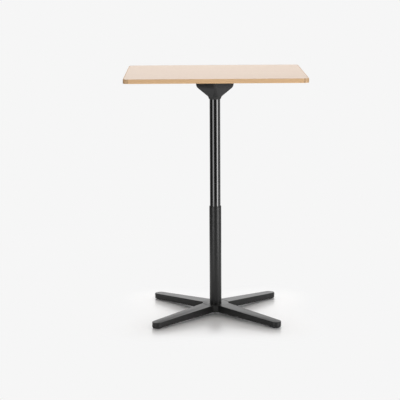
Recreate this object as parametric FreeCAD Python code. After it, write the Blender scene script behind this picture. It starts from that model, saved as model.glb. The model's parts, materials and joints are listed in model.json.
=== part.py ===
import FreeCAD, Part
import os
from math import acos, atan2, cos, hypot, radians, sin, sqrt, tan

# High table: a wooden top that tilts, a telescopic column and a base with four arms.
# Millimetres, +Z up, origin on the floor under the column, +X along the long side of the top.

# Overall sizes
table_height = 1050.0
top_length = 750.0
top_depth = 640.0
top_thickness = 18.0
top_corner_radius = 20.0

# Cuts and fits
overrun = 1.0
running_clearance = 0.05
rest_gap = 0.2

# Layers of the top
lipping_width = 4.0
lipping_edge_radius = 1.0
face_thickness = 0.8

# Tilt plate and its screws
plate_thickness = 4.0
plate_half_length = 105.0
plate_front_reach = 85.0
plate_rear_reach = 95.0
plate_corner_radius = 12.0
screw_row_x = 88.0
screw_middle_y = 5.0
screw_pitch_y = 70.0
wood_screw_radius = 2.2
wood_screw_head_radius = 4.4
wood_screw_head_height = 2.4
wood_screw_length = 17.0

# Head: round neck, straight flare, round shoulder and upright wall on a square turned by 45 degrees
head_rim_gap = 8.0
head_throat_drop = 74.3
head_neck_length = 11.7
head_neck_radius = 24.4
head_neck_flat = 0.3
head_throat_radius = 29.5
head_flare_angle = 39.35
head_shoulder_radius = 22.0
head_shoulder_steps = 6
head_half_diagonal = 79.6
head_corner_radius = 11.0
head_wall = 5.0
head_floor_rise = 11.3
socket_boss_radius = 28.0
socket_boss_height = 13.0
socket_shoulder_height = 4.0
socket_shoulder_radius = 16.0
buffer_inset = 7.8
buffer_boss_radius = 9.0
buffer_radius = 8.0
buffer_height = 9.8

# Tilt hinge
hinge_inset = 26.6
hinge_drop = 34.0
hinge_bolt_radius = 4.0
hinge_bolt_head_radius = 6.5
hinge_bolt_head_height = 3.5
hinge_bush_radius = 5.5
knuckle_half_length = 16.5
knuckle_radius = 9.0
knuckle_half_thickness = 5.0
friction_washer_thickness = 0.9
friction_washer_radius = 8.5
lug_gap_half = 17.5
lug_outer_half = 28.0
lug_radius = 10.0
lug_depth = 26.0
knuckle_slot_margin = 11.0
sweep_gap = 1.0
spot_face_radius = 11.0

# Tilt clamp lever
clamp_boss_radius = 9.0
clamp_boss_length = 16.0
clamp_handle_radius = 5.0
clamp_handle_tip_radius = 6.0
clamp_handle_reach = 37.0

# Height lever and release rod
lever_pivot_inset = 34.6
lever_drop = 13.0
lever_pin_radius = 2.5
lever_half_width = 6.0
lever_half_thickness = 3.0
lever_heel = 6.0
paddle_start_x = 120.0
paddle_end_x = 200.0
paddle_half_width = 18.0
paddle_corner_radius = 8.0
lever_post_half_length = 6.0
lever_post_inner = 6.5
lever_post_outer = 12.5
lever_post_rise = 5.0
lever_slot_half_width = 8.0
lever_slot_drop = 14.5
lever_slot_length = 29.6
release_rod_radius = 4.0
release_rod_seat = 8.0
release_rod_gap = 0.3
release_tip_radius = 2.0
release_tip_height = 1.5

# Upper tube
upper_tube_radius = 22.5
upper_tube_wall = 2.0
tube_overlap = 119.4
guide_ring_length = 40.0
clamp_screw_radius = 3.0
clamp_screw_drop = 4.0
clamp_screw_angles = (90.0, 210.0, 330.0)

# Lower tube
lower_tube_radius = 25.5
lower_tube_wall = 1.5
lower_tube_length = 453.4
bush_length = 40.0
bush_flange_thickness = 1.2

# Gas spring
gas_cylinder_radius = 14.0
gas_cylinder_wall = 2.0
gas_cylinder_rise = 72.0
gas_cylinder_drop = 14.0
gas_cap_thickness = 12.0
collar_length = 22.0
gas_rod_radius = 5.0
gas_rod_seat = 10.0
piston_gap = 2.0
piston_length = 14.0
piston_clearance = 0.1

# Hub
hub_radius = 56.0
hub_bottom_z = 13.5
hub_ring_thickness = 12.5
hub_plate_thickness = 18.5
hub_edge_radius = 1.5
seam_gap = 1.4
spigot_radius = 34.0
spigot_gap = 0.3
socket_floor_thickness = 4.5
hub_screw_circle = 45.0
hub_screw_radius = 3.0
hub_screw_hole_gap = 0.3
hub_screw_head_radius = 5.0
hub_screw_head_height = 6.0
hub_screw_grip = 14.0
hub_screw_angles = (0.0, 90.0, 180.0, 270.0)

# Tube plug and draw bolt
plug_length = 30.0
draw_bolt_radius = 6.0
draw_bolt_hole_gap = 0.3
draw_bolt_grip = 16.0
draw_bolt_head_radius = 9.5
draw_bolt_head_height = 7.5
draw_washer_radius = 14.0
draw_washer_thickness = 2.5

# Arms
foot_offset = 247.7
arm_start = 20.0
arm_start_half_width = 32.4
arm_root_rise = 1.0
arm_edge_radius = 2.0
foot_radius = 22.5
foot_height = 21.5
upper_arm_angles = (135.0, 315.0)
lower_arm_angles = (45.0, 225.0)

# Glides
glide_bottom_radius = 15.0
glide_radius = 21.5
glide_taper_height = 4.2
glide_height = 5.0
glide_gap = 1.0
glide_stem_radius = 4.0
glide_stem_gap = 1.0
glide_hole_cover = 4.5
glides = {
    "glide_front_left": 225.0,
    "glide_front_right": 315.0,
    "glide_rear_right": 45.0,
    "glide_rear_left": 135.0,
}

# Heights and places that follow from these sizes, from the top down
top_bottom_z = table_height - top_thickness
plate_bottom_z = top_bottom_z - plate_thickness
hinge_z = top_bottom_z - hinge_drop
hinge_y = head_half_diagonal - hinge_inset
head_rim_z = plate_bottom_z - head_rim_gap
head_throat_z = head_rim_z - head_throat_drop
head_bottom_z = head_throat_z - head_neck_length
head_floor_z = head_throat_z + head_floor_rise
socket_boss_top = head_floor_z + socket_boss_height
sweep_radius = hinge_drop - plate_thickness - sweep_gap
buffer_offset = head_half_diagonal / 2 - buffer_inset
buffer_top_z = plate_bottom_z - rest_gap
lever_pivot_x = lever_pivot_inset - head_half_diagonal
lever_pivot_z = plate_bottom_z - lever_drop
upper_tube_top = socket_boss_top - socket_shoulder_height
clamp_screw_z = upper_tube_top - clamp_screw_drop
gas_cylinder_top = upper_tube_top - gas_cylinder_drop
release_rod_bottom = gas_cylinder_top - release_rod_seat

# The same from the floor up
foot_under_z = glide_height + glide_gap
foot_top_z = foot_under_z + foot_height
foot_reach = foot_offset * sqrt(2.0)
glide_hole_top = foot_top_z - glide_hole_cover
glide_stem_top = glide_hole_top - glide_stem_gap
hub_split_z = hub_bottom_z + hub_ring_thickness
hub_top_z = hub_split_z + hub_plate_thickness
hub_screw_top = hub_split_z + hub_screw_grip
hub_screw_head_top = hub_bottom_z + hub_screw_head_height
arm_root_under_z = hub_bottom_z + arm_root_rise
arm_fall_share = (hub_top_z - foot_top_z) / (foot_reach - hub_radius)
socket_floor_z = hub_bottom_z + socket_floor_thickness
plug_top = socket_floor_z + plug_length
draw_bolt_top = socket_floor_z + draw_bolt_grip
gas_rod_bottom = plug_top - gas_rod_seat
lower_tube_top = socket_floor_z + lower_tube_length
upper_tube_bottom = lower_tube_top - tube_overlap
gas_cylinder_bottom = upper_tube_bottom + gas_cylinder_rise
piston_bottom = gas_cylinder_bottom + gas_cap_thickness + piston_gap
piston_top = piston_bottom + piston_length

# Bores and directions
upper_tube_bore = upper_tube_radius - upper_tube_wall
lower_tube_bore = lower_tube_radius - lower_tube_wall
gas_cylinder_bore = gas_cylinder_radius - gas_cylinder_wall
along_x = FreeCAD.Vector(1, 0, 0)
along_y = FreeCAD.Vector(0, 1, 0)
up = FreeCAD.Vector(0, 0, 1)
origin = FreeCAD.Vector(0, 0, 0)


def disc(radius, low, high, x=0, y=0):
    """Upright cylinder between two heights."""
    return Part.makeCylinder(radius, high - low, FreeCAD.Vector(x, y, low))


def ring(outer, inner, low, high):
    """Upright sleeve on the column axis."""
    return disc(outer, low, high).cut(disc(inner, low - overrun, high + overrun))


def bar_x(radius, low, high, y, z):
    """Cylinder along X."""
    return Part.makeCylinder(radius, high - low, FreeCAD.Vector(low, y, z), along_x)


def bar_y(radius, low, high, x, z):
    """Cylinder along Y."""
    return Part.makeCylinder(radius, high - low, FreeCAD.Vector(x, low, z), along_y)


def block(x, y, z):
    """Box from pairs of low and high values."""
    corner = FreeCAD.Vector(x[0], y[0], z[0])
    return Part.makeBox(x[1] - x[0], y[1] - y[0], z[1] - z[0], corner)


def rounded_plate(x, y, z, radius):
    """Box with its upright edges rounded."""
    plate = block(x, y, z)
    upright = [edge for edge in plate.Edges if abs(edge.tangentAt(edge.FirstParameter).z) > 0.5]
    return plate.makeFillet(radius, upright)


def turned(shape, angle):
    """Copy of a shape turned about the column axis."""
    copy = shape.copy()
    copy.rotate(origin, up, angle)
    return copy


def fused(shapes):
    """One clean solid from several that touch or overlap."""
    return shapes[0].multiFuse(shapes[1:]).removeSplitter()


def on_circle(radius, angle):
    """Plan position at a radius and an angle."""
    return radius * cos(radians(angle)), radius * sin(radians(angle))


def top_slab(inset, low, high):
    """Slab of the top's outline, set in from its edge."""
    half_length = top_length / 2 - inset
    half_depth = top_depth / 2 - inset
    x = (-half_length, half_length)
    y = (-half_depth, half_depth)
    return rounded_plate(x, y, (low, high), top_corner_radius - inset)


def wood_screw_places():
    """Plan positions of the screws that hold the tilt plate."""
    rows = [screw_middle_y + step * screw_pitch_y for step in (-1, 0, 1)]
    return [(side * screw_row_x, y) for side in (-1, 1) for y in rows]


def wood_screw(x, y):
    """Countersunk screw driven up from the tilt plate."""
    head_top = plate_bottom_z + wood_screw_head_height
    head = Part.makeCone(wood_screw_head_radius, wood_screw_radius, wood_screw_head_height,
                         FreeCAD.Vector(x, y, plate_bottom_z))
    shank = disc(wood_screw_radius, head_top, plate_bottom_z + wood_screw_length, x, y)
    return fused([head, shank])


def wood_screws():
    """All the screws as separate solids."""
    return Part.makeCompound([wood_screw(x, y) for x, y in wood_screw_places()])


def top_core():
    """Core board between the two thin faces."""
    core = top_slab(lipping_width, top_bottom_z + face_thickness, table_height - face_thickness)
    return core.cut(wood_screws())


def top_veneer():
    """Thin face on the upper side."""
    return top_slab(lipping_width, table_height - face_thickness, table_height)


def backing_laminate():
    """Thin face on the lower side."""
    face = top_slab(lipping_width, top_bottom_z, top_bottom_z + face_thickness)
    return face.cut(wood_screws())


def edge_band():
    """Solid lipping round the top, with eased edges."""
    slab = top_slab(0, top_bottom_z, table_height)
    level = [edge for edge in slab.Edges if edge.BoundBox.ZLength < overrun]
    eased = slab.makeFillet(lipping_edge_radius, level)
    inner = top_slab(lipping_width, top_bottom_z - overrun, table_height + overrun)
    return eased.cut(inner)


def tilt_plate():
    """Steel plate under the top with the moving knuckle of the hinge."""
    plate = rounded_plate((-plate_half_length, plate_half_length), (-plate_front_reach, plate_rear_reach),
                          (plate_bottom_z, top_bottom_z), plate_corner_radius)
    web_y = (hinge_y - knuckle_half_thickness, hinge_y + knuckle_half_thickness)
    web = block((-knuckle_half_length, knuckle_half_length), web_y, (hinge_z, plate_bottom_z))
    knuckle = bar_x(knuckle_radius, -knuckle_half_length, knuckle_half_length, hinge_y, hinge_z)
    body = fused([plate, web, knuckle])
    end = knuckle_half_length + overrun
    return body.cut(bar_x(hinge_bush_radius, -end, end, hinge_y, hinge_z)).cut(wood_screws())


def hinge_bush():
    """Polymer bush pressed into the knuckle."""
    end = knuckle_half_length
    outer = bar_x(hinge_bush_radius, -end, end, hinge_y, hinge_z)
    bore = hinge_bolt_radius + running_clearance
    return outer.cut(bar_x(bore, -end - overrun, end + overrun, hinge_y, hinge_z))


def friction_washers():
    """Two washers between the knuckle and the fixed lugs."""
    bore = hinge_bolt_radius + running_clearance
    gap = (lug_gap_half - knuckle_half_length - friction_washer_thickness) / 2
    washers = []
    for start in (-lug_gap_half + gap, knuckle_half_length + gap):
        end = start + friction_washer_thickness
        washer = bar_x(friction_washer_radius, start, end, hinge_y, hinge_z)
        washers.append(washer.cut(bar_x(bore, start - overrun, end + overrun, hinge_y, hinge_z)))
    return Part.makeCompound(washers)


def hinge_bolt():
    """Bolt through the lugs; its left end carries the clamp lever."""
    left = -lug_outer_half - rest_gap - clamp_boss_length
    shank = bar_x(hinge_bolt_radius, left, lug_outer_half, hinge_y, hinge_z)
    head_end = lug_outer_half + hinge_bolt_head_height
    head = bar_x(hinge_bolt_head_radius, lug_outer_half, head_end, hinge_y, hinge_z)
    return fused([shank, head])


def clamp_lever():
    """Short handle that tightens the hinge."""
    inner = -lug_outer_half - rest_gap
    outer = inner - clamp_boss_length
    boss = bar_x(clamp_boss_radius, outer, inner, hinge_y, hinge_z)
    middle = (outer + inner) / 2
    tip_z = hinge_z - clamp_handle_reach
    handle = disc(clamp_handle_radius, tip_z, hinge_z, middle, hinge_y)
    tip = Part.makeSphere(clamp_handle_tip_radius, FreeCAD.Vector(middle, hinge_y, tip_z))
    bore = hinge_bolt_radius + running_clearance
    body = fused([boss, handle, tip])
    return body.cut(bar_x(bore, outer - overrun, inner + overrun, hinge_y, hinge_z))


def head_outline(z, half_diagonal, corner_radius):
    """Rounded square with its corners on the X and Y axes."""
    reach = half_diagonal - corner_radius
    corners = []
    for quarter in range(4):
        centre = on_circle(reach, 90 * quarter)
        steps = [on_circle(corner_radius, 90 * quarter + swing) for swing in (-45, 0, 45)]
        corners.append([FreeCAD.Vector(centre[0] + x, centre[1] + y, z) for x, y in steps])
    edges = []
    for corner, following in zip(corners, corners[1:] + corners[:1]):
        edges.append(Part.Arc(*corner).toShape())
        edges.append(Part.makeLine(corner[-1], following[0]))
    return Part.Wire(edges)


def head_sections():
    """Height, half diagonal and corner radius: neck, throat, straight flare, round shoulder, upright wall."""
    flare = radians(head_flare_angle)
    centre = head_half_diagonal - head_shoulder_radius
    flare_end = centre + head_shoulder_radius * sin(flare)
    flare_end_z = head_throat_z + (flare_end - head_throat_radius) * tan(flare)
    centre_z = flare_end_z + head_shoulder_radius * cos(flare)
    sections = [(head_bottom_z, head_neck_radius, head_neck_radius - head_neck_flat),
                (head_throat_z, head_throat_radius, head_throat_radius - head_neck_flat)]
    for step in range(head_shoulder_steps + 1):
        swing = (flare - radians(90)) * (1 - step / head_shoulder_steps)
        half_diagonal = centre + head_shoulder_radius * cos(swing)
        sections.append((centre_z + head_shoulder_radius * sin(swing), half_diagonal, head_corner_radius))
    sections.append((head_rim_z, head_half_diagonal, head_corner_radius))
    return sections


def head_outside():
    """Square-to-round body of the head."""
    return Part.makeLoft([head_outline(*section) for section in head_sections()], True, True)


def head_cavity():
    """Hollow of the head, with the tube's socket boss left standing."""
    outlines = []
    for z, half_diagonal, corner_radius in head_sections()[1:]:
        outlines.append(head_outline(z, half_diagonal - head_wall, corner_radius - head_wall))
    rim = (head_half_diagonal - head_wall, head_corner_radius - head_wall)
    outlines.append(head_outline(head_rim_z + overrun, *rim))
    hollow = Part.makeLoft(outlines, True, True)
    across = (-head_half_diagonal, head_half_diagonal)
    above = block(across, across, (head_floor_z, head_rim_z + overrun))
    boss = disc(socket_boss_radius, head_floor_z - overrun, socket_boss_top)
    return hollow.common(above).cut(boss)


def hinge_lugs():
    """Fixed lugs at the rear corner of the head."""
    x = (-lug_outer_half, lug_outer_half)
    barrel = bar_x(lug_radius, x[0], x[1], hinge_y, hinge_z)
    web = block(x, (hinge_y - lug_radius, hinge_y + lug_radius), (hinge_z - lug_depth, hinge_z))
    return [barrel, web]


def lever_posts():
    """Two posts on the head's floor for the height lever's pivot pin."""
    x = (lever_pivot_x - lever_post_half_length, lever_pivot_x + lever_post_half_length)
    z = (head_floor_z, lever_pivot_z + lever_post_rise)
    near = block(x, (-lever_post_outer, -lever_post_inner), z)
    far = block(x, (lever_post_inner, lever_post_outer), z)
    return [near, far]


def buffer_places():
    """Plan positions of the rubber buffers."""
    return [(side * buffer_offset, -buffer_offset) for side in (-1, 1)]


def buffer_bosses():
    """Bosses under the rubber buffers."""
    low = head_floor_z
    high = buffer_top_z - buffer_height
    return [disc(buffer_boss_radius, low, high, x, y) for x, y in buffer_places()]


def hinge_openings():
    """Space in the rear corner for the knuckle, the bolt's ends and the swinging plate."""
    far = head_half_diagonal + overrun
    above = head_rim_z + overrun
    slot_y = (hinge_y - knuckle_slot_margin, far)
    slot = block((-lug_gap_half, lug_gap_half), slot_y, (hinge_z - knuckle_slot_margin, above))
    bore = bar_x(hinge_bolt_radius, -far, far, hinge_y, hinge_z)
    left = bar_x(spot_face_radius, -far, -lug_outer_half, hinge_y, hinge_z)
    right = bar_x(spot_face_radius, lug_outer_half, far, hinge_y, hinge_z)
    rear = block((-far, far), (hinge_y, far), (hinge_z, above))
    swept = rear.cut(bar_x(sweep_radius, -far, far, hinge_y, hinge_z))
    return [slot, bore, left, right, swept]


def lever_openings():
    """Slot in the right corner and pin holes for the height lever."""
    x = (head_half_diagonal - lever_slot_length, head_half_diagonal + overrun)
    y = (-lever_slot_half_width, lever_slot_half_width)
    slot = block(x, y, (lever_pivot_z - lever_slot_drop, head_rim_z + overrun))
    end = lever_post_outer + overrun
    return [slot, bar_y(lever_pin_radius, -end, end, lever_pivot_x, lever_pivot_z)]


def clamp_screw(angle):
    """Grub screw from the socket boss to the upper tube."""
    place = on_circle(upper_tube_radius, angle)
    axis = FreeCAD.Vector(*on_circle(1, angle), 0)
    base = FreeCAD.Vector(place[0], place[1], clamp_screw_z)
    screw = Part.makeCylinder(clamp_screw_radius, socket_boss_radius - upper_tube_radius, base, axis)
    return screw.cut(disc(upper_tube_radius, upper_tube_bottom, upper_tube_top))


def clamp_screws():
    """Grub screws as separate solids."""
    return Part.makeCompound([clamp_screw(angle) for angle in clamp_screw_angles])


def head_shell():
    """Cast head with socket, lugs, posts and buffer bosses."""
    outside = head_outside()
    inserts = fused(hinge_lugs() + lever_posts() + buffer_bosses()).common(outside)
    shell = fused([outside.cut(head_cavity()), inserts])
    socket = disc(upper_tube_radius, head_bottom_z - overrun, upper_tube_top)
    passage = disc(socket_shoulder_radius, upper_tube_top - overrun, socket_boss_top + overrun)
    for opening in hinge_openings() + lever_openings() + [socket, passage, clamp_screws()]:
        shell = shell.cut(opening)
    return shell


def rubber_buffers():
    """Buffers that the tilt plate comes down on."""
    low = buffer_top_z - buffer_height
    return Part.makeCompound([disc(buffer_radius, low, buffer_top_z, x, y) for x, y in buffer_places()])


def height_lever():
    """Bar with a paddle that presses the release rod down."""
    y = (-lever_half_width, lever_half_width)
    z = (lever_pivot_z - lever_half_thickness, lever_pivot_z + lever_half_thickness)
    bar = block((lever_pivot_x - lever_heel, paddle_start_x + paddle_corner_radius), y, z)
    paddle = rounded_plate((paddle_start_x, paddle_end_x), (-paddle_half_width, paddle_half_width), z,
                           paddle_corner_radius)
    end = lever_half_width + overrun
    bore = bar_y(lever_pin_radius + running_clearance, -end, end, lever_pivot_x, lever_pivot_z)
    return fused([bar, paddle]).cut(bore)


def lever_pin():
    """Pivot pin of the height lever."""
    return bar_y(lever_pin_radius, -lever_post_outer, lever_post_outer, lever_pivot_x, lever_pivot_z)


def release_rod():
    """Rod between the height lever and the gas spring's valve."""
    top = lever_pivot_z - lever_half_thickness - release_rod_gap
    shank = disc(release_rod_radius, release_rod_bottom, top - release_tip_height)
    tip = Part.makeCone(release_rod_radius, release_tip_radius, release_tip_height,
                        FreeCAD.Vector(0, 0, top - release_tip_height))
    return fused([shank, tip])


def upper_tube():
    """Sliding tube of the column."""
    return ring(upper_tube_radius, upper_tube_bore, upper_tube_bottom, upper_tube_top)


def guide_ring():
    """Polymer ring on the lower end of the sliding tube."""
    outer = lower_tube_bore - running_clearance
    return ring(outer, upper_tube_radius, upper_tube_bottom, upper_tube_bottom + guide_ring_length)


def gas_spring_cylinder():
    """Gas spring body with a guide at its lower end and a cap at its upper end."""
    body = disc(gas_cylinder_radius, gas_cylinder_bottom, gas_cylinder_top)
    inside_low = gas_cylinder_bottom + gas_cap_thickness
    inside = disc(gas_cylinder_bore, inside_low, gas_cylinder_top - gas_cap_thickness)
    rod_hole = disc(gas_rod_radius + running_clearance, gas_cylinder_bottom - overrun, inside_low + overrun)
    valve_low = gas_cylinder_top - gas_cap_thickness - overrun
    valve_hole = disc(release_rod_radius + running_clearance, valve_low, gas_cylinder_top + overrun)
    return body.cut(inside).cut(rod_hole).cut(valve_hole)


def cylinder_collar():
    """Collar that fixes the gas spring in the upper tube."""
    return ring(upper_tube_bore, gas_cylinder_radius, gas_cylinder_top - collar_length, gas_cylinder_top)


def gas_spring_rod():
    """Piston rod, held in the plug at the foot of the column."""
    return disc(gas_rod_radius, gas_rod_bottom, piston_bottom)


def gas_spring_piston():
    """Piston on the rod's upper end."""
    return disc(gas_cylinder_bore - piston_clearance, piston_bottom, piston_top)


def lower_tube():
    """Fixed outer tube of the column."""
    return ring(lower_tube_radius, lower_tube_bore, socket_floor_z, lower_tube_top)


def guide_bush():
    """Flanged polymer bush in the mouth of the lower tube."""
    bore = upper_tube_radius + running_clearance
    sleeve = ring(lower_tube_bore, bore, lower_tube_top - bush_length, lower_tube_top)
    flange = ring(lower_tube_radius, bore, lower_tube_top, lower_tube_top + bush_flange_thickness)
    return fused([sleeve, flange])


def tube_plug():
    """Plug in the foot of the lower tube, threaded for the draw bolt."""
    plug = disc(lower_tube_bore, socket_floor_z, plug_top)
    thread = disc(draw_bolt_radius, socket_floor_z - overrun, draw_bolt_top)
    seat = disc(gas_rod_radius, gas_rod_bottom, plug_top + overrun)
    return plug.cut(thread).cut(seat)


def draw_washer():
    """Washer under the hub."""
    inner = draw_bolt_radius + draw_bolt_hole_gap
    return ring(draw_washer_radius, inner, hub_bottom_z - draw_washer_thickness, hub_bottom_z)


def draw_bolt():
    """Hexagon bolt that pulls the column into the hub."""
    head_top = hub_bottom_z - draw_washer_thickness
    head_low = head_top - draw_bolt_head_height
    corners = [on_circle(draw_bolt_head_radius, 60 * step) for step in range(7)]
    outline = Part.makePolygon([FreeCAD.Vector(x, y, head_low) for x, y in corners])
    head = Part.Face(outline).extrude(up * draw_bolt_head_height)
    return fused([head, disc(draw_bolt_radius, head_top, draw_bolt_top)])


def hub_screw(angle):
    """Cap screw up through the lower beam into the upper one."""
    x, y = on_circle(hub_screw_circle, angle)
    head = disc(hub_screw_head_radius, hub_bottom_z, hub_screw_head_top, x, y)
    return fused([head, disc(hub_screw_radius, hub_screw_head_top, hub_screw_top, x, y)])


def hub_screws():
    """Cap screws as separate solids."""
    return Part.makeCompound([hub_screw(angle) for angle in hub_screw_angles])


def arm_plan():
    """Tapering plan of an arm that runs tangent into its round foot, as a tall prism along +X."""
    back = foot_reach - arm_start
    swing = atan2(arm_start_half_width, -back) - acos(foot_radius / hypot(back, arm_start_half_width))
    touch_x = foot_reach + foot_radius * cos(swing)
    touch_y = foot_radius * sin(swing)
    near_left = FreeCAD.Vector(arm_start, -arm_start_half_width, 0)
    near_right = FreeCAD.Vector(arm_start, arm_start_half_width, 0)
    far_left = FreeCAD.Vector(touch_x, -touch_y, 0)
    far_right = FreeCAD.Vector(touch_x, touch_y, 0)
    tip = FreeCAD.Vector(foot_reach + foot_radius, 0, 0)
    edges = [Part.makeLine(near_right, near_left), Part.makeLine(near_left, far_left)]
    edges.append(Part.Arc(far_left, tip, far_right).toShape())
    edges.append(Part.makeLine(far_right, near_right))
    return Part.Face(Part.Wire(edges)).extrude(up * (2 * hub_top_z))


def arm_side():
    """Side profile of an arm with a straight falling top, as a wide prism across Y."""
    end = foot_reach + foot_radius + overrun
    start_top = hub_top_z + arm_fall_share * (hub_radius - arm_start)
    end_top = foot_top_z - arm_fall_share * (end - foot_reach)
    root = (arm_start, arm_root_under_z)
    heel = (foot_reach - foot_radius, foot_under_z)
    corners = [root, (hub_radius, arm_root_under_z), heel, (end, foot_under_z), (end, end_top),
               (arm_start, start_top), root]
    outline = Part.makePolygon([FreeCAD.Vector(x, -hub_radius, z) for x, z in corners])
    return Part.Face(outline).extrude(along_y * (2 * hub_radius))


def arm():
    """One arm along +X with its upper edges eased and a hole for the glide."""
    body = arm_plan().common(arm_side()).removeSplitter()
    lowest = foot_top_z - arm_fall_share * foot_radius - overrun
    eased = [edge for edge in body.Edges if edge.BoundBox.ZMin > lowest and edge.BoundBox.XLength > overrun]
    body = body.makeFillet(arm_edge_radius, eased)
    hole = disc(glide_stem_radius + running_clearance, foot_under_z - overrun, glide_hole_top, foot_reach, 0)
    across = (-hub_radius, hub_radius)
    return body.common(block((arm_start, foot_reach + hub_radius), across, (0, hub_top_z))).cut(hole)


def base_beam_upper():
    """Hub disc with its spigot and two arms."""
    plate = disc(hub_radius, hub_split_z, hub_top_z)
    rim = [edge for edge in plate.Edges if edge.BoundBox.ZMin > hub_split_z + hub_edge_radius]
    plate = plate.makeFillet(hub_edge_radius, rim)
    spigot = disc(spigot_radius, hub_bottom_z, hub_split_z)
    under = disc(hub_radius + seam_gap, 0, hub_split_z)
    arms = [turned(arm().cut(under), angle) for angle in upper_arm_angles]
    beam = fused([plate, spigot] + arms)
    socket = disc(lower_tube_radius, socket_floor_z, hub_top_z + overrun)
    bolt_hole = disc(draw_bolt_radius + draw_bolt_hole_gap, hub_bottom_z - overrun, socket_floor_z + overrun)
    return beam.cut(socket).cut(bolt_hole).cut(hub_screws())


def base_beam_lower():
    """Clamped ring with the other two arms."""
    bore = spigot_radius + spigot_gap
    plate = ring(hub_radius, bore, hub_bottom_z, hub_split_z)
    above = disc(hub_radius + seam_gap, hub_split_z, hub_top_z + overrun)
    through = disc(bore, 0, hub_top_z)
    arms = [turned(arm().cut(above).cut(through), angle) for angle in lower_arm_angles]
    beam = fused([plate] + arms)
    for angle in hub_screw_angles:
        x, y = on_circle(hub_screw_circle, angle)
        hole = disc(hub_screw_radius + hub_screw_hole_gap, hub_bottom_z, hub_split_z + overrun, x, y)
        recess_radius = hub_screw_head_radius + hub_screw_hole_gap
        recess = disc(recess_radius, hub_bottom_z - overrun, hub_screw_head_top, x, y)
        beam = beam.cut(hole).cut(recess)
    return beam


def glide(angle):
    """Screw-in foot pad under an arm."""
    x, y = on_circle(foot_reach, angle)
    taper = Part.makeCone(glide_bottom_radius, glide_radius, glide_taper_height, FreeCAD.Vector(x, y, 0))
    pad = disc(glide_radius, glide_taper_height, glide_height, x, y)
    stem = disc(glide_stem_radius, glide_height, glide_stem_top, x, y)
    return fused([taper, pad, stem])


makers = (
    top_core, top_veneer, backing_laminate, edge_band, tilt_plate, hinge_bush, wood_screws,
    friction_washers, hinge_bolt, clamp_lever, head_shell, clamp_screws, rubber_buffers,
    height_lever, lever_pin, release_rod, upper_tube, guide_ring, gas_spring_cylinder, cylinder_collar,
    gas_spring_rod, gas_spring_piston, lower_tube, guide_bush, tube_plug, draw_washer, draw_bolt,
    hub_screws, base_beam_upper, base_beam_lower,
)

os.makedirs("parts", exist_ok=True)
for maker in makers:
    maker().exportStep("parts/" + maker.__name__ + ".step")
for name, angle in glides.items():
    glide(angle).exportStep("parts/" + name + ".step")
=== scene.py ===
import json
from math import cos, pi, radians, sin

import bmesh
import bpy
import numpy as np
from mathutils import Matrix, Vector


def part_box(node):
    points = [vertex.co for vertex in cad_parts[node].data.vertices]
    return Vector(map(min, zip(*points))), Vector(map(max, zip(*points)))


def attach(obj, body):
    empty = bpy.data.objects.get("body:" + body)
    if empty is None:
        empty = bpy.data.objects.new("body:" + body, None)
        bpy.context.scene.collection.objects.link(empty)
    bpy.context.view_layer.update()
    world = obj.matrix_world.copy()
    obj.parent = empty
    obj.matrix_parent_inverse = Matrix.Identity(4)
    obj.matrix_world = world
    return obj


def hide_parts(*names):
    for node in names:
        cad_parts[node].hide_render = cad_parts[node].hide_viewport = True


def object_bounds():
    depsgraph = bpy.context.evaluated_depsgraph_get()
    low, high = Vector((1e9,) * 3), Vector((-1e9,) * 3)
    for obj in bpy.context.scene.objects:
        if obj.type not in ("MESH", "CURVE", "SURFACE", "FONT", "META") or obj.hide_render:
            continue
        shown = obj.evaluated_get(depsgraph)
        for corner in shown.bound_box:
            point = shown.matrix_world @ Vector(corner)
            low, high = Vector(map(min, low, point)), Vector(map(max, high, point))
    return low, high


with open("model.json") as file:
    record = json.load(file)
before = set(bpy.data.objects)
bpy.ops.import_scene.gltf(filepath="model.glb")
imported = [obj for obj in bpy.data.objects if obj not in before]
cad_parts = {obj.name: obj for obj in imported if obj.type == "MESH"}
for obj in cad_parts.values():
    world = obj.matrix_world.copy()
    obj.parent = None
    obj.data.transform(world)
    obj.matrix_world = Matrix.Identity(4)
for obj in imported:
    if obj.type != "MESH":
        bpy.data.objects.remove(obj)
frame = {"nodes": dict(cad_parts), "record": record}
cad_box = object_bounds()
subparts = {part["node"]: part for part in frame["record"]["subparts"]}
bodies = frame["record"]["behaviour"]["bodies"]
body_of = {node: body for body, nodes in bodies.items() for node in nodes}

# Camera, as fitted to the photograph: focal length in pixels of the frame, place in metres
image_side = 400.0
focal_pixels = 1424.9
sensor_mm = 36.0
camera_place = (-0.095, -6.0254, 1.6073)
camera_yaw = radians(-0.28)
camera_pitch = radians(10.427)
camera_roll = radians(-0.33)
camera_clip_end = 100.0

# Background: strengths, where 1 is white, and the directions between which each part of it sets in
backdrop_white = 0.922
studio_dim = 0.06
above_light = 0.35
behind_light = 0.45
right_light = 0.30
above_band = (-0.1, 0.5)
behind_band = (0.1, 0.8)
right_band = (0.2, 0.9)
mirrored_band = (0.75, 0.98)
hidden_band = (0.55, 0.85)
raised_band = (-0.08, 0.10)

# Floor: tone and gloss, the distances over which it fades, and its size
floor_level = 0.84
floor_mottle = 0.99
floor_mottle_scale = 40.0
floor_gloss = 0.36
floor_sheen = 0.40
sheen_blend = 0.5
sheen_grazing = (0.66, 0.74)
shadow_beside = (0.30, 0.62)
shadow_beyond = (0.37, 0.58)
floor_end = (1.3, 1.9)
floor_half_width = 5.0
floor_front = -2.0
floor_rear = 7.0

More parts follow.
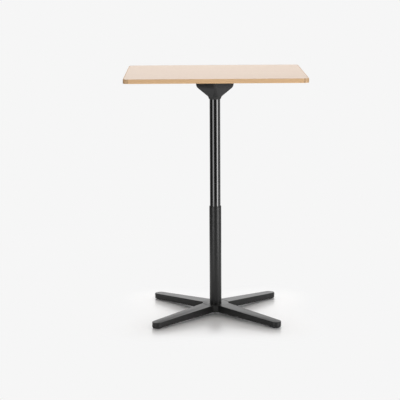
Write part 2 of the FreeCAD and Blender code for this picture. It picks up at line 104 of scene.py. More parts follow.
# Powder coat, gloss lacquer and bare metal: noise cycles per metre, shares of tone, parts of gloss
noise_middle = 0.5
coat_cloud_scale = 11.0
coat_tone_range = (0.8, 1.25)
coat_cloud_gloss = 0.08
coat_peel_gloss = 0.06
coat_peel_strength = 0.5
drawn_scale = (900.0, 900.0, 3.0)
lacquer_cloud_scale = (6.0, 6.0, 2.0)
lacquer_tone_range = (0.7, 1.3)
drawn_gloss = 0.03
brushed_scale = (40.0, 40.0, 900.0)
metal_cloud_scale = 30.0
metal_tone_range = (0.85, 1.1)
brushed_gloss = 0.2

# Wood: noise cycles per metre along and across the grain, noise levels at which a mark sets in
streak_scale = (2.4, 110.0, 110.0)
pore_scale = (18.0, 700.0, 700.0)
pore_band = (0.60, 0.74)
fleck_scale = (190.0, 1500.0, 1500.0)
fleck_band = (0.63, 0.70)
drift_scale = (0.6, 7.0, 1.0)
streak_share = 0.6
drift_share = 0.4
pore_tone = 0.75
streak_gloss = 0.10
pore_gloss = 0.08
wood_bump_strength = 0.15
wood_bump_depth = 0.0002
lipping_streak_share = 0.8
lipping_streak_floor = 0.1
lipping_pore_depth = 0.25
block_blur = 0.0005
block_share = 0.55
block_tone = 0.72
joint_place = 0.0008
joint_band = (0.0006, 0.0022)
joint_share = 0.8
joint_tone = 0.35

# Meshes: how finely they are divided, merged and smoothed
round_sides = 96
small_sides = 36
ease_steps = 4
edge_segments = 2
merge_distance = 1e-7
cad_merge_distance = 1e-6
flat_angle = radians(0.2)
crease_angle = radians(32)

# Sizes of the made pieces in metres, where the frame's boxes don't give them
casting_edge = 0.0006
plate_edge = 0.0005
tube_edge = 0.0004
upper_tube_wall = 0.002
lower_tube_wall = 0.0015
bush_bore = 0.02255
lipping_width = 0.004
lipping_edge = 0.001
top_corner = 0.020
corner_steps = 14
glide_foot_radius = 0.015
glide_taper = 0.0042
glide_thickness = 0.005
glide_stem = 0.004
glide_edge = 0.0008
buffer_edge = 0.0015
bolt_bore = 0.00405
bolt_shank = 0.004
bolt_head_height = 0.0035
bolt_socket = 0.0029
bolt_socket_depth = 0.0022
clamp_edge = 0.0012
clamp_root = 0.0048
clamp_waist = 0.0038
clamp_ball = 0.0060
clamp_handle_rows = 14
wood_head = 0.0044
wood_head_rim = 0.0004
wood_head_height = 0.0024
wood_recess = 0.0021
wood_recess_depth = 0.0015
wood_lobe_share = 0.12
wood_shank = 0.0022
wood_tip = 0.004
cap_head = 0.005
cap_head_height = 0.006
cap_socket = 0.0029
cap_socket_depth = 0.003
cap_shank = 0.003
cap_edge = 0.0004
draw_shank = 0.006
draw_edge = 0.0012
draw_bore_gap = 0.0003
lever_half_width = 0.006
lever_rows = 130
lever_sides = 32
lever_squareness_share = 0.35
lever_end_power = 24
lever_end_root = 0.25
paddle_start = 0.112
paddle_flare = 0.030
paddle_round = 0.012
paddle_round_power = 4
finger_depth = 0.0008
finger_pitch = 0.010


class Value:
    """A shader socket that can be used in sums: each operator adds one Math node."""

    def __init__(self, graph, socket):
        self.graph = graph
        self.socket = socket

    def __add__(self, other):
        return self.graph.math("ADD", self, other)

    def __radd__(self, other):
        return self.graph.math("ADD", other, self)

    def __sub__(self, other):
        return self.graph.math("SUBTRACT", self, other)

    def __rsub__(self, other):
        return self.graph.math("SUBTRACT", other, self)

    def __mul__(self, other):
        return self.graph.math("MULTIPLY", self, other)

    def __rmul__(self, other):
        return self.graph.math("MULTIPLY", other, self)

    def __abs__(self):
        return self.graph.math("ABSOLUTE", self)


class Graph:
    """The node tree of one material or world."""

    def __init__(self, tree):
        self.tree = tree
        tree.nodes.clear()

    def add(self, kind, settings=None, inputs=None, output=0):
        """Makes a node, applies its settings, fills its sockets and returns one output."""
        node = self.tree.nodes.new(kind)
        for name, value in (settings or {}).items():
            setattr(node, name, value)
        for name, value in (inputs or {}).items():
            if isinstance(value, Value):
                self.tree.links.new(value.socket, node.inputs[name])
            else:
                node.inputs[name].default_value = value
        return Value(self, node.outputs[output]) if node.outputs else None

    def math(self, operation, first, second=0.0):
        """One Math node on one or two values."""
        return self.add("ShaderNodeMath", {"operation": operation}, {0: first, 1: second})

    def between(self, low, high, value):
        """0 below low, 1 above high, smooth in between."""
        inputs = {"Value": value, "From Min": low, "From Max": high}
        return self.add("ShaderNodeMapRange", {"interpolation_type": "SMOOTHSTEP"}, inputs)

    def mix(self, factor, first, second):
        """Mix of two colours."""
        inputs = {"Factor": factor, 6: first, 7: second}
        return self.add("ShaderNodeMix", {"data_type": "RGBA"}, inputs, 2)

    def here(self):
        """Object coordinates in metres."""
        return self.add("ShaderNodeTexCoord", None, None, "Object")

    def noise(self, vector, scale, detail=4.0, roughness=0.55, distortion=0.0):
        """Noise on a vector stretched by a scale of one number or three."""
        spread = scale if isinstance(scale, tuple) else (scale, scale, scale)
        stretched = self.add("ShaderNodeMapping", None, {"Vector": vector, "Scale": spread})
        inputs = {"Vector": stretched, "Scale": 1.0, "Detail": detail, "Roughness": roughness,
                  "Distortion": distortion}
        return self.add("ShaderNodeTexNoise", None, inputs)

    def parts(self, vector):
        """The three numbers of a vector."""
        return [self.add("ShaderNodeSeparateXYZ", None, {0: vector}, axis) for axis in range(3)]

    def bump(self, height, strength, distance):
        """Normal of a surface raised by a height."""
        inputs = {"Height": height, "Strength": strength, "Distance": distance}
        return self.add("ShaderNodeBump", None, inputs)


def grey(level):
    """Opaque grey of a linear level."""
    return (level, level, level, 1.0)


def greys(level, shares):
    """The two greys that a tone wanders between."""
    return [grey(level * share) for share in shares]


def colour(red, green, blue):
    """Linear colour from 8-bit screen values."""
    share = np.array((red, green, blue)) / 255.0
    linear = np.where(share <= 0.04045, share / 12.92, ((share + 0.055) / 1.055) ** 2.4)
    return (*map(float, linear), 1.0)


def darker(tone, share):
    """Share of a colour."""
    return (*(share * part for part in tone[:3]), 1.0)


def new_material(name):
    """Material with an empty node tree."""
    material = bpy.data.materials.new(name)
    material.use_nodes = True
    return material, Graph(material.node_tree)


def finish_surface(graph, inputs):
    """Principled surface to the material's output."""
    surface = graph.add("ShaderNodeBsdfPrincipled", None, inputs)
    graph.add("ShaderNodeOutputMaterial", None, {"Surface": surface})


def powder_coat(name, level, roughness, specular, grain_size=0.0009, grain_height=0.00003):
    """Black powder coat: fine orange peel in the bump, slight clouding of tone and gloss."""
    material, graph = new_material(name)
    cloud = graph.noise(graph.here(), coat_cloud_scale, detail=3.0)
    peel = graph.noise(graph.here(), 1.0 / grain_size, detail=2.0)
    tone = graph.mix(cloud, *greys(level, coat_tone_range))
    clouded = roughness + (cloud - noise_middle) * coat_cloud_gloss
    gloss = clouded + (peel - noise_middle) * coat_peel_gloss
    finish_surface(graph, {"Base Color": tone, "Roughness": gloss, "Specular IOR Level": specular,
                           "Normal": graph.bump(peel, coat_peel_strength, grain_height)})
    return material


def gloss_black(name, level, roughness, refraction):
    """Polished black tube: drawn lines so fine that they only stir the gloss along its length."""
    material, graph = new_material(name)
    drawn = graph.noise(graph.here(), drawn_scale, detail=2.0)
    cloud = graph.noise(graph.here(), lacquer_cloud_scale, detail=2.0)
    tone = graph.mix(cloud, *greys(level, lacquer_tone_range))
    gloss = roughness + (drawn - noise_middle) * drawn_gloss
    finish_surface(graph, {"Base Color": tone, "Roughness": gloss, "IOR": refraction})
    return material


def bare_metal(name, level, roughness):
    """Plated or machined metal with fine brushed variation."""
    material, graph = new_material(name)
    brushed = graph.noise(graph.here(), brushed_scale, detail=3.0)
    cloud = graph.noise(graph.here(), metal_cloud_scale, detail=2.0)
    tone = graph.mix(cloud, *greys(level, metal_tone_range))
    gloss = roughness + (brushed - noise_middle) * brushed_gloss
    finish_surface(graph, {"Base Color": tone, "Metallic": 1.0, "Roughness": gloss})
    return material


def grain(graph, vector):
    """Streaks, and the long pores and short flecks, of wood that runs along X of a vector."""
    streak = graph.noise(vector, streak_scale, detail=5.0, roughness=0.6, distortion=0.4)
    pore = graph.between(*pore_band, graph.noise(vector, pore_scale, detail=2.0))
    fleck = graph.between(*fleck_band, graph.noise(vector, fleck_scale, detail=1.0))
    return streak, graph.math("MAXIMUM", pore, fleck)


def finish_wood(graph, streak, pore, tone, gloss):
    """Sealed wood: pores are a little deeper and duller than the streaks between them."""
    roughness = gloss + (streak - noise_middle) * streak_gloss + pore * pore_gloss
    normal = graph.bump(streak - pore, wood_bump_strength, wood_bump_depth)
    finish_surface(graph, {"Base Color": tone, "Roughness": roughness, "Normal": normal})


def face_wood(name, pale, dark, gloss, pore_depth):
    """Wooden face with its grain along X and a slow drift of tone from leaf to leaf."""
    material, graph = new_material(name)
    streak, pore = grain(graph, graph.here())
    drift = graph.noise(graph.here(), drift_scale, detail=2.0)
    tone = graph.mix(streak * streak_share + drift * drift_share, pale, dark)
    tone = graph.mix(pore * pore_depth, tone, darker(dark, pore_tone))
    finish_wood(graph, streak, pore, tone, gloss)
    return material


def lipping_wood(name, pale, dark, gloss):
    """Lipping whose grain follows the edge, with a browner block and a joint at each corner."""
    material, graph = new_material(name)
    run = graph.add("ShaderNodeUVMap", {"uv_map": "grain"})
    streak, pore = grain(graph, run)
    x, y, _ = graph.parts(graph.here())
    far_x = abs(x) - (cad_box[1][0] - top_corner)
    far_y = abs(y) - (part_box("edge_band")[1].y - top_corner)
    block_x, block_y = (graph.between(-block_blur, block_blur, far) for far in (far_x, far_y))
    block = block_x * block_y
    from_joint = abs(graph.math("MINIMUM", far_x, far_y) - joint_place)
    joint = 1 - graph.between(*joint_band, from_joint)
    tone = graph.mix(streak * lipping_streak_share + lipping_streak_floor, pale, dark)
    tone = graph.mix(pore * lipping_pore_depth, tone, darker(dark, pore_tone))
    tone = graph.mix(block * block_share, tone, darker(dark, block_tone))
    tone = graph.mix(joint * block * joint_share, tone, darker(dark, joint_tone))
    finish_wood(graph, streak, pore, tone, gloss)
    return material


finishes = {
    "pale_wood": face_wood("pale_wood", pale=colour(230, 210, 193), dark=colour(218, 193, 171),
                           gloss=0.46, pore_depth=0.45),
    "brown_wood": lipping_wood("brown_wood", pale=colour(206, 171, 130),
                               dark=colour(193, 155, 112), gloss=0.42),
    "core_board": face_wood("core_board", pale=colour(196, 168, 132), dark=colour(172, 142, 106),
                            gloss=0.70, pore_depth=0.25),
    "backing": face_wood("backing", pale=colour(206, 184, 158), dark=colour(188, 162, 134),
                         gloss=0.55, pore_depth=0.25),
    "black_coat": powder_coat("black_coat", level=0.006, roughness=0.36, specular=0.45),
    "black_gloss": gloss_black("black_gloss", level=0.003, roughness=0.10, refraction=1.8),
    "head_coat": powder_coat("head_coat", level=0.012, roughness=0.58, specular=0.43),
    "base_coat": powder_coat("base_coat", level=0.006, roughness=0.32, specular=0.37),
    "steel": bare_metal("steel", level=0.60, roughness=0.32),
    "alloy": bare_metal("alloy", level=0.68, roughness=0.36),
    "polymer": powder_coat("polymer", level=0.014, roughness=0.50, specular=0.5,
                           grain_size=0.0005),
    "rubber": powder_coat("rubber", level=0.012, roughness=0.75, specular=0.4,
                          grain_size=0.0008, grain_height=0.00008),
}

for name, part in subparts.items():
    node = frame["nodes"][name]
    node.data.materials.clear()
    node.data.materials.append(finishes[part["material_slot"]])


def quads(rows, columns, close_rows, close_columns):
    """Corner numbers of the cells of a grid of points that is stored row by row."""
    row = np.arange(rows if close_rows else rows - 1)
    column = np.arange(columns if close_columns else columns - 1)
    row, column = np.meshgrid(row, column, indexing="ij")
    next_row = (row + 1) % rows
    next_column = (column + 1) % columns
    cells = (row * columns + column, row * columns + next_column,
             next_row * columns + next_column, next_row * columns + column)
    return np.stack(cells, axis=-1).reshape(-1, 4)


def eased(corners, radii):
    """Outline whose corners are quadratic curves from one radius before to one radius after."""
    corners = np.asarray(corners, float)
    radii = np.broadcast_to(np.asarray(radii, float), len(corners))[:, None]
    back = np.roll(corners, 1, axis=0) - corners
    ahead = np.roll(corners, -1, axis=0) - corners
    start = (corners + back * radii / np.linalg.norm(back, axis=1, keepdims=True))[:, None]
    end = (corners + ahead * radii / np.linalg.norm(ahead, axis=1, keepdims=True))[:, None]
    share = np.linspace(0, 1, ease_steps + 1)[None, :, None]
    bend = 2 * share * (1 - share) * corners[:, None]
    return ((1 - share) ** 2 * start + bend + share ** 2 * end).reshape(-1, 2)


def lathe(profile, sides=round_sides, closed=False, flats=0.0, lobes=0.0):
    """Surface (r cos t, r sin t, z) of (r, z) pairs turned about Z.

    A row whose flats is 1 is a hexagon of corner radius r. A row's lobes is the share of r by
    which it waves six times round.
    """
    profile = np.asarray(profile, float)
    turn = np.linspace(0, 2 * pi, sides, endpoint=False)
    flats = np.broadcast_to(np.asarray(flats, float), len(profile))[:, None]
    lobes = np.broadcast_to(np.asarray(lobes, float), len(profile))[:, None]
    hexagon = cos(pi / 6) / np.cos(turn % (pi / 3) - pi / 6)
    radius = profile[:, :1] * (1 - flats * (1 - hexagon) + lobes * np.cos(6 * turn))
    height = np.broadcast_to(profile[:, 1:], radius.shape)
    grid = np.stack((radius * np.cos(turn), radius * np.sin(turn), height), axis=-1)
    return grid.reshape(-1, 3), quads(len(profile), sides, closed, True)


def moved(surface, centre, along="z"):
    """Surface with its own Z axis laid along an axis of the frame, then moved to a centre."""
    order = {"z": (0, 1, 2), "x": (2, 0, 1), "y": (1, 2, 0)}[along]
    points, faces = surface
    return points[:, order] + np.asarray(centre, float), faces


def flipped(surface):
    """Surface mirrored in its own XY plane."""
    points, faces = surface
    return points * (1, 1, -1), faces


def outward(surface):
    """Surface whose faces point out: they are turned where the volume they enclose is negative.

    The volume is the sum of a . (b x c) / 6 over triangles.
    """
    points, faces = surface
    a, b, c, d = np.moveaxis((points - points.mean(axis=0))[faces], 1, 0)
    volume = np.sum(a * (np.cross(b, c) + np.cross(c, d))) / 6
    return points, faces if volume > 0 else faces[:, ::-1]


def close_mesh(mesh, distance, flat=0.0):
    """Closes the seams and poles of a mesh, and joins faces that meet at less than an angle."""
    work = bmesh.new()
    work.from_mesh(mesh)
    bmesh.ops.remove_doubles(work, verts=work.verts, dist=distance)
    if flat:
        bmesh.ops.dissolve_limit(work, angle_limit=flat, verts=work.verts, edges=work.edges)
    bmesh.ops.dissolve_degenerate(work, edges=work.edges, dist=merge_distance)
    work.to_mesh(mesh)
    work.free()


def finish_piece(mesh, name, node):
    """Smooth object, all but its sharp edges, that stands for a CAD node and moves with it."""
    mesh.polygons.foreach_set("use_smooth", np.ones(len(mesh.polygons), bool))
    mesh.set_sharp_from_angle(angle=crease_angle)
    piece = bpy.data.objects.new(name, mesh)
    bpy.context.scene.collection.objects.link(piece)
    slot = subparts[node]["material_slot"]
    mesh.materials.clear()
    mesh.materials.append(finishes[slot])
    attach(piece, body_of[node])
    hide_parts(node)
    return piece


def add_piece(name, surfaces, node, uv=None):
    """One object of one or more closed surfaces, with a UV map where the grain follows them."""
    surfaces = [outward(surface) for surface in surfaces]
    starts = np.cumsum([0] + [len(points) for points, _ in surfaces[:-1]])
    points = np.concatenate([points for points, _ in surfaces])
    faces = np.concatenate([faces + start for (_, faces), start in zip(surfaces, starts)])
    mesh = bpy.data.meshes.new(name)
    mesh.from_pydata(points.tolist(), [], faces.tolist())
    if uv is not None:
        layer = mesh.uv_layers.new(name="grain")
        layer.data.foreach_set("uv", uv[faces.reshape(-1)].reshape(-1))
    close_mesh(mesh, merge_distance)
    finish_piece(mesh, name, node)


def add_softened(name, node, width):
    """Merged copy of a CAD node with rounded edges, for castings with many pockets and bosses."""
    mesh = frame["nodes"][node].data.copy()
    close_mesh(mesh, cad_merge_distance, flat_angle)
    bevel = finish_piece(mesh, name, node).modifiers.new("eased_edges", "BEVEL")
    bevel.limit_method = "ANGLE"
    bevel.angle_limit = crease_angle
    bevel.width = width
    bevel.segments = edge_segments
    bevel.harden_normals = True


def tube(radius, bore, low, high):
    """Sleeve: a ring section with eased corners turned about the column."""
    section = [(radius, low), (radius, high), (bore, high), (bore, low)]
    return lathe(eased(section, tube_edge), closed=True)


def pin(radius, low, high, edge):
    """Round bar about Z with eased ends."""
    profile = [(0, low), (radius, low), (radius, high), (0, high)]
    return eased(profile, (0, edge, edge, 0))


def add_column():
    """The two tubes and the flanged bush in the mouth of the lower one."""
    low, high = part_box("upper_tube")
    bore = high.x - upper_tube_wall
    add_piece("column_upper", [tube(high.x, bore, low.z, high.z)], "upper_tube")
    low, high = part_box("lower_tube")
    bore = high.x - lower_tube_wall
    add_piece("column_lower", [tube(high.x, bore, low.z, high.z)], "lower_tube")
    bush_low, bush_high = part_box("guide_bush")
    section = [(bore, bush_low.z), (bore, high.z), (bush_high.x, high.z),
               (bush_high.x, bush_high.z), (bush_bore, bush_high.z), (bush_bore, bush_low.z)]
    add_piece("column_bush", [lathe(eased(section, tube_edge), closed=True)], "guide_bush")


def add_lipping():
    """Lipping: at every place on the rounded outline its section is set in along the normal.

    The UV map is the distance along the outline and round the section, in metres.
    """
    low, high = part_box("edge_band")
    section = [(0, low.z), (0, high.z), (lipping_width, high.z), (lipping_width, low.z)]
    section = eased(section, (lipping_edge, lipping_edge, 0, 0))
    first = np.arange(4) * pi / 2
    turn = (first[:, None] + np.linspace(0, pi / 2, corner_steps + 1)).reshape(-1)
    middle = np.repeat(first + pi / 4, corner_steps + 1)
    turn = np.append(turn, turn[0])
    middle = np.append(middle, middle[0])
    centre = np.stack((np.sign(np.cos(middle)) * (high.x - top_corner),
                       np.sign(np.sin(middle)) * (high.y - top_corner)), axis=-1)
    normal = np.stack((np.cos(turn), np.sin(turn)), axis=-1)
    plan = centre[:, None] + (top_corner - section[:, 0])[None, :, None] * normal[:, None]
    height = np.broadcast_to(section[:, 1], plan.shape[:2])[..., None]
    points = np.concatenate((plan, height), axis=-1)
    outline = centre + top_corner * normal
    run, around = (np.append(0, np.cumsum(np.linalg.norm(np.diff(line, axis=0), axis=1)))
                   for line in (outline, section))
    uv = np.stack(np.meshgrid(run, around, indexing="ij"), axis=-1)
    faces = quads(len(turn), len(section), False, True)
    add_piece("top_lipping", [(points.reshape(-1, 3), faces)], "edge_band", uv.reshape(-1, 2))


def add_glides():
    """One foot pad with its stem under the end of each arm: a profile turned about the stem."""
    for name in [node for node in subparts if node.startswith("glide_")]:
        low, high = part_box(name)
        middle = (low + high) / 2
        pad = (high.x - low.x) / 2
        length = high.z - low.z
        profile = [(0, 0), (glide_foot_radius, 0), (pad, glide_taper), (pad, glide_thickness),
                   (glide_stem, glide_thickness), (glide_stem, length), (0, length)]
        radii = [0, glide_edge, glide_edge, glide_edge / 2, glide_edge / 2, glide_edge, 0]
        foot = moved(lathe(eased(profile, radii)), (middle.x, middle.y, low.z))
        add_piece(name.replace("glide", "foot_pad"), [foot], name)


def socket_head(radius, height, recess, depth, edge, flats=0.0, lobes=0.0):
    """Rows of a screw head from the middle of its recess outwards and back to the shank.

    The rows come with their flats and lobes, which only those of the recess have.
    """
    rows = [(0, depth), (recess, depth), (recess, edge), (recess + edge, 0),
            (radius - edge, 0), (radius, edge), (radius, height)]
    inside = np.array((1, 1, 1, 1, 0, 0, 0), float)
    return rows, flats * inside, lobes * inside


def headed_screw(head, shank_rows):
    """Screw standing on its head: the head's rows, then the shank's up to a point or flat end."""
    rows, flats, lobes = head
    plain = np.zeros(len(shank_rows))
    return lathe(rows + shank_rows, small_sides, flats=np.append(flats, plain),
                 lobes=np.append(lobes, plain))


def machine_screw(head, shank, head_height, length):
    """Headed screw with a chamfered flat end."""
    return headed_screw(head, [(shank, head_height), (shank, length - cap_edge),
                               (shank - cap_edge, length), (0, length)])


def add_wood_screws():
    """Countersunk screws with a lobed recess, flush with the tilt plate."""
    low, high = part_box("wood_screws")
    length = high.z - low.z
    head = socket_head(wood_head, wood_head_rim, wood_recess, wood_recess_depth,
                       wood_head_rim / 2, lobes=wood_lobe_share)
    screw = headed_screw(head, [(wood_shank, wood_head_height), (wood_shank, length - wood_tip),
                                (0, length)])
    columns = (low.x + wood_head, high.x - wood_head)
    rows = (low.y + wood_head, (low.y + high.y) / 2, high.y - wood_head)
    screws = [moved(screw, (x, y, low.z)) for x in columns for y in rows]
    add_piece("plate_screws", screws, "wood_screws")


def add_hub_screws():
    """Cap screws with a hexagon socket, up from under the hub."""
    low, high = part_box("hub_screws")
    head = socket_head(cap_head, cap_head_height, cap_socket, cap_socket_depth, cap_edge, flats=1.0)
    screw = machine_screw(head, cap_shank, cap_head_height, high.z - low.z)
    reach = high.x - cap_head
    places = [(reach, 0), (0, reach), (-reach, 0), (0, -reach)]
    add_piece("hub_cap_screws", [moved(screw, (x, y, low.z)) for x, y in places], "hub_screws")


def add_draw_bolt():
    """Hexagon bolt under the hub, its lower corners chamfered, and its washer."""
    low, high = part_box("draw_bolt")
    washer_low, washer_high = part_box("draw_washer")
    head = washer_low.z - low.z
    length = high.z - low.z
    face = high.x * cos(pi / 6)
    rows = [(0, 0), (face - draw_edge, 0), (face, draw_edge / 2), (high.x, draw_edge),
            (high.x, head), (draw_shank, head), (draw_shank, length - draw_edge),
            (draw_shank - draw_edge, length), (0, length)]
    bolt = lathe(rows, small_sides, flats=(0, 0, 0, 1, 1, 0, 0, 0, 0))
    add_piece("hub_draw_bolt", [moved(bolt, (0, 0, low.z))], "draw_bolt")
    washer = tube(washer_high.x, draw_shank + draw_bore_gap, washer_low.z, washer_high.z)
    add_piece("hub_washer", [washer], "draw_washer")


def add_hinge_bolt():
    """Bolt along X with a socket in its right-hand head and an eased left end."""
    low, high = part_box("hinge_bolt")
    middle = (low + high) / 2
    head = socket_head((high.z - low.z) / 2, bolt_head_height, bolt_socket, bolt_socket_depth,
                       cap_edge, flats=1.0)
    bolt = flipped(machine_screw(head, bolt_shank, bolt_head_height, high.x - low.x))
    add_piece("tilt_bolt", [moved(bolt, (high.x, middle.y, middle.z), "x")], "hinge_bolt")


def add_clamp_lever():
    """Boss on the hinge bolt and a handle: a waist that swells by cubes to its root and end."""
    low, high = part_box("clamp_lever")
    middle = (low + high) / 2
    boss_radius = (high.y - low.y) / 2
    hinge_z = high.z - boss_radius
    section = [(boss_radius, low.x), (boss_radius, high.x), (bolt_bore, high.x), (bolt_bore, low.x)]
    boss = lathe(eased(section, (clamp_edge, clamp_edge, 0, 0)), closed=True)
    start = (bolt_bore + boss_radius) / 2
    end = hinge_z - low.z - clamp_ball
    share = np.linspace(0, 1, clamp_handle_rows)
    drop = start + (end - start) * share
    to_root = (clamp_root - clamp_waist) * (1 - share) ** 3
    to_ball = (clamp_ball - clamp_waist) * share ** 3
    neck = np.stack((clamp_waist + to_root + to_ball, drop), axis=-1)
    turn = np.linspace(0, pi / 2, clamp_handle_rows)
    ball = np.stack((clamp_ball * np.cos(turn), end + clamp_ball * np.sin(turn)), axis=-1)
    handle = flipped(lathe(np.concatenate(([(0, start)], neck, ball[1:])), small_sides))
    add_piece("tilt_clamp", [moved(boss, (0, middle.y, hinge_z), "x"),
                             moved(handle, (middle.x, middle.y, hinge_z))], "clamp_lever")


def add_height_lever():
    """Bar that widens to a paddle: along X, a squarish round section of each place's size.

    The half width runs from the bar's to the paddle's by a smooth step, and falls to zero at the
    round ends. The thickness falls to zero only at the very ends, which closes them, and a cosine
    makes the rows denser there. The underside of the paddle has shallow finger waves across it.
    """
    low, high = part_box("height_lever")
    half_thick = (high.z - low.z) / 2
    share = np.linspace(0, 1, lever_rows)
    x = low.x + (high.x - low.x) * (1 - np.cos(pi * share)) / 2
    step = np.clip((x - paddle_start) / paddle_flare, 0, 1)
    tip = np.clip((x - (high.x - paddle_round)) / paddle_round, 0, 1)
    heel = np.clip((low.x + lever_half_width - x) / lever_half_width, 0, 1)
    width = lever_half_width + (high.y - lever_half_width) * step ** 2 * (3 - 2 * step)
    width = width * (1 - tip ** paddle_round_power) ** (1 / paddle_round_power)
    width = width * np.sqrt(1 - heel ** 2)
    closing = ((1 - tip ** lever_end_power) * (1 - heel ** lever_end_power)) ** lever_end_root
    turn = np.linspace(0, 2 * pi, lever_sides, endpoint=False)
    across, upward = (np.sign(part) * np.abs(part) ** lever_squareness_share
                      for part in (np.cos(turn), np.sin(turn)))
    grip = np.clip((x - paddle_start - paddle_flare) / paddle_flare, 0, 1) * (1 - tip)
    wave = grip * finger_depth * (1 - np.cos(2 * pi * (x - paddle_start) / finger_pitch)) / 2
    height = closing[:, None] * (half_thick * upward + wave[:, None] * (upward < 0))
    along = np.broadcast_to(x[:, None], height.shape)
    grid = np.stack((along, width[:, None] * across, low.z + half_thick + height), axis=-1)
    faces = quads(lever_rows, lever_sides, False, True)
    add_piece("lift_lever", [(grid.reshape(-1, 3), faces)], "height_lever")


def add_buffers():
    """Two rubber buffers with well rounded rims."""
    low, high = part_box("rubber_buffers")
    radius = (high.y - low.y) / 2
    buffer = lathe(pin(radius, low.z, high.z, buffer_edge))
    places = [(x, (low.y + high.y) / 2, 0) for x in (low.x + radius, high.x - radius)]
    add_piece("top_buffers", [moved(buffer, place) for place in places], "rubber_buffers")


def add_lever_axle():
    """Pin that the height lever turns on, along Y."""
    low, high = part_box("lever_pin")
    middle = (low + high) / 2
    axle = lathe(pin((high.z - low.z) / 2, 0, high.y - low.y, tube_edge), small_sides)
    add_piece("lever_axle", [moved(axle, (middle.x, low.y, middle.z), "y")], "lever_pin")


add_column()
add_lipping()
add_glides()
add_wood_screws()
add_hub_screws()
add_draw_bolt()
add_hinge_bolt()
add_clamp_lever()
add_height_lever()
add_buffers()
add_lever_axle()
add_softened("head_casting", "head_shell", casting_edge)
add_softened("arms_upper", "base_beam_upper", casting_edge)
add_softened("arms_lower", "base_beam_lower", casting_edge)
add_softened("tilting_plate", "tilt_plate", plate_edge)


def add_floor():
    """Pale floor with the base's shadow and reflection, clear far away and from below.

    The lit floor fades into the background beside the crossed arms and beyond their tips. The
    distance from the arms is the mean of |x| and |y| plus the difference between them.
    """
    corners = [(-floor_half_width, floor_front, 0), (floor_half_width, floor_front, 0),
               (floor_half_width, floor_rear, 0), (-floor_half_width, floor_rear, 0)]
    mesh = bpy.data.meshes.new("floor")
    mesh.from_pydata(corners, [], [(0, 1, 2, 3)])
    floor = bpy.data.objects.new("floor", mesh)
    bpy.context.scene.collection.objects.link(floor)
    material, graph = new_material("floor_paper")
    here = graph.here()
    away = graph.add("ShaderNodeVectorMath", {"operation": "LENGTH"}, {0: here}, "Value")
    x, y, _ = graph.parts(here)
    from_arms = (abs(x) + abs(y)) * 0.5 + abs(abs(x) - abs(y))
    paper = graph.mix(graph.noise(here, floor_mottle_scale), *greys(floor_level, (1, floor_mottle)))
    matt = graph.add("ShaderNodeBsdfDiffuse", None, {"Color": paper})
    gloss = {"Color": grey(1.0), "Roughness": floor_gloss}
    sheen = graph.add("ShaderNodeBsdfGlossy", None, gloss)
    facing = graph.add("ShaderNodeLayerWeight", None, {"Blend": sheen_blend}, "Facing")
    share = graph.between(*sheen_grazing, facing) * floor_sheen
    lit = graph.add("ShaderNodeMixShader", None, {0: share, 1: matt, 2: sheen})
    white = {"Color": grey(1.0), "Strength": backdrop_white}
    glow = graph.add("ShaderNodeEmission", None, white)
    beside = graph.between(*shadow_beside, from_arms)
    beyond = graph.between(*shadow_beyond, away)
    fade = 1 - (1 - beside) * (1 - beyond)
    surface = graph.add("ShaderNodeMixShader", None, {0: fade, 1: lit, 2: glow})
    gone = graph.add("ShaderNodeBsdfTransparent")
    below = graph.add("ShaderNodeNewGeometry", None, None, "Backfacing")
    clear = graph.math("MAXIMUM", below, graph.between(*floor_end, away))
    surface = graph.add("ShaderNodeMixShader", None, {0: clear, 1: surface, 2: gone})
    graph.add("ShaderNodeOutputMaterial", None, {"Surface": surface})
    floor.data.materials.append(material)


def add_world():
    """White background for the camera; for the object, a pale backdrop and a dim studio.

    Glossy pieces show the backdrop only straight behind and above the horizon, and no light from
    straight behind below it, which keeps the edges of the upright ones dark.
    """
    world = bpy.data.worlds.new("studio")
    bpy.context.scene.world = world
    world.use_nodes = True
    graph = Graph(world.node_tree)
    x, y, z = graph.parts(graph.add("ShaderNodeTexCoord", None, None, "Generated"))
    seen, through, glossy = (
        graph.add("ShaderNodeLightPath", None, None, ray)
        for ray in ("Is Camera Ray", "Is Transmission Ray", "Is Glossy Ray"))
    raised = graph.between(*raised_band, z)
    mirrored = glossy * raised * graph.between(*mirrored_band, y)
    hidden = glossy * (1 - raised) * graph.between(*hidden_band, y)
    white = graph.math("MAXIMUM", graph.math("MAXIMUM", seen, through), mirrored)
    above = graph.between(*above_band, z) * above_light
    behind = graph.between(*behind_band, y) * (1 - hidden) * behind_light
    right = graph.between(*right_band, x) * right_light
    level = white * backdrop_white + (1 - white) * (studio_dim + above + behind + right)
    background = graph.add("ShaderNodeBackground", None, {"Color": grey(1.0), "Strength": level})
    graph.add("ShaderNodeOutputWorld", None, {"Surface": background})


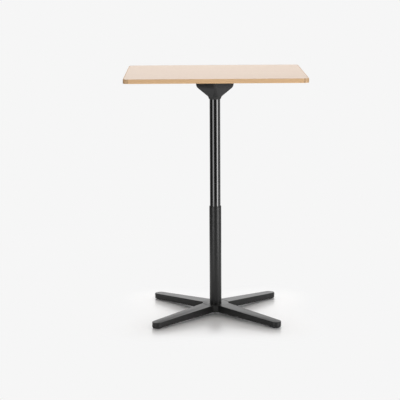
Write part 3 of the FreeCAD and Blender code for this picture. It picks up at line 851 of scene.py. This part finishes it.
def add_softbox(name, azimuth, elevation, distance, target_z, width, height, power, mirrored=True):
    """Area light at a distance from a point on the column's axis, facing it.

    Azimuth 0 is the camera's side, positive to the right. A lamp that isn't mirrored gives light
    but doesn't show in glossy surfaces.
    """
    turn = radians(azimuth)
    lift = radians(elevation)
    away = Vector((sin(turn) * cos(lift), -cos(turn) * cos(lift), sin(lift)))
    lamp = bpy.data.lights.new(name, "AREA")
    lamp.shape = "RECTANGLE"
    lamp.size = width
    lamp.size_y = height
    lamp.energy = power
    box = bpy.data.objects.new(name, lamp)
    place = Matrix.Translation(Vector((0, 0, target_z)) + distance * away)
    box.matrix_world = place @ away.to_track_quat("Z", "Y").to_matrix().to_4x4()
    box.visible_camera = False
    box.visible_glossy = mirrored
    bpy.context.scene.collection.objects.link(box)


def add_camera():
    """Camera turned by yaw, pitch and roll from looking along +Y."""
    right = Vector((cos(camera_yaw), sin(camera_yaw), 0))
    ahead = Vector((-sin(camera_yaw) * cos(camera_pitch), cos(camera_yaw) * cos(camera_pitch),
                    -sin(camera_pitch)))
    upward = right.cross(ahead)
    across = cos(camera_roll) * right + sin(camera_roll) * upward
    upward = cos(camera_roll) * upward - sin(camera_roll) * right
    lens = bpy.data.cameras.new("camera")
    lens.sensor_width = sensor_mm
    lens.lens = focal_pixels * sensor_mm / image_side
    lens.clip_end = camera_clip_end
    camera = bpy.data.objects.new("camera", lens)
    turned = Matrix((across, upward, -ahead)).transposed().to_4x4()
    camera.matrix_world = Matrix.Translation(camera_place) @ turned
    bpy.context.scene.collection.objects.link(camera)
    bpy.context.scene.camera = camera


add_floor()
add_world()
add_softbox("left_box", azimuth=-40, elevation=0, distance=3.2, target_z=-0.05,
            width=1.7, height=2.4, power=39)
add_softbox("right_box", azimuth=53, elevation=0, distance=3.2, target_z=-0.05,
            width=1.6, height=2.4, power=68)
add_softbox("front_box", azimuth=10, elevation=6, distance=4.5, target_z=0.5,
            width=3.0, height=2.0, power=52, mirrored=False)
add_softbox("top_box", azimuth=180, elevation=72, distance=3.4, target_z=0.4,
            width=2.6, height=2.6, power=48)
add_softbox("rear_box", azimuth=180, elevation=14, distance=5.0, target_z=0.0,
            width=3.0, height=1.0, power=10)
add_camera()
bpy.context.scene.view_settings.view_transform = "Standard"
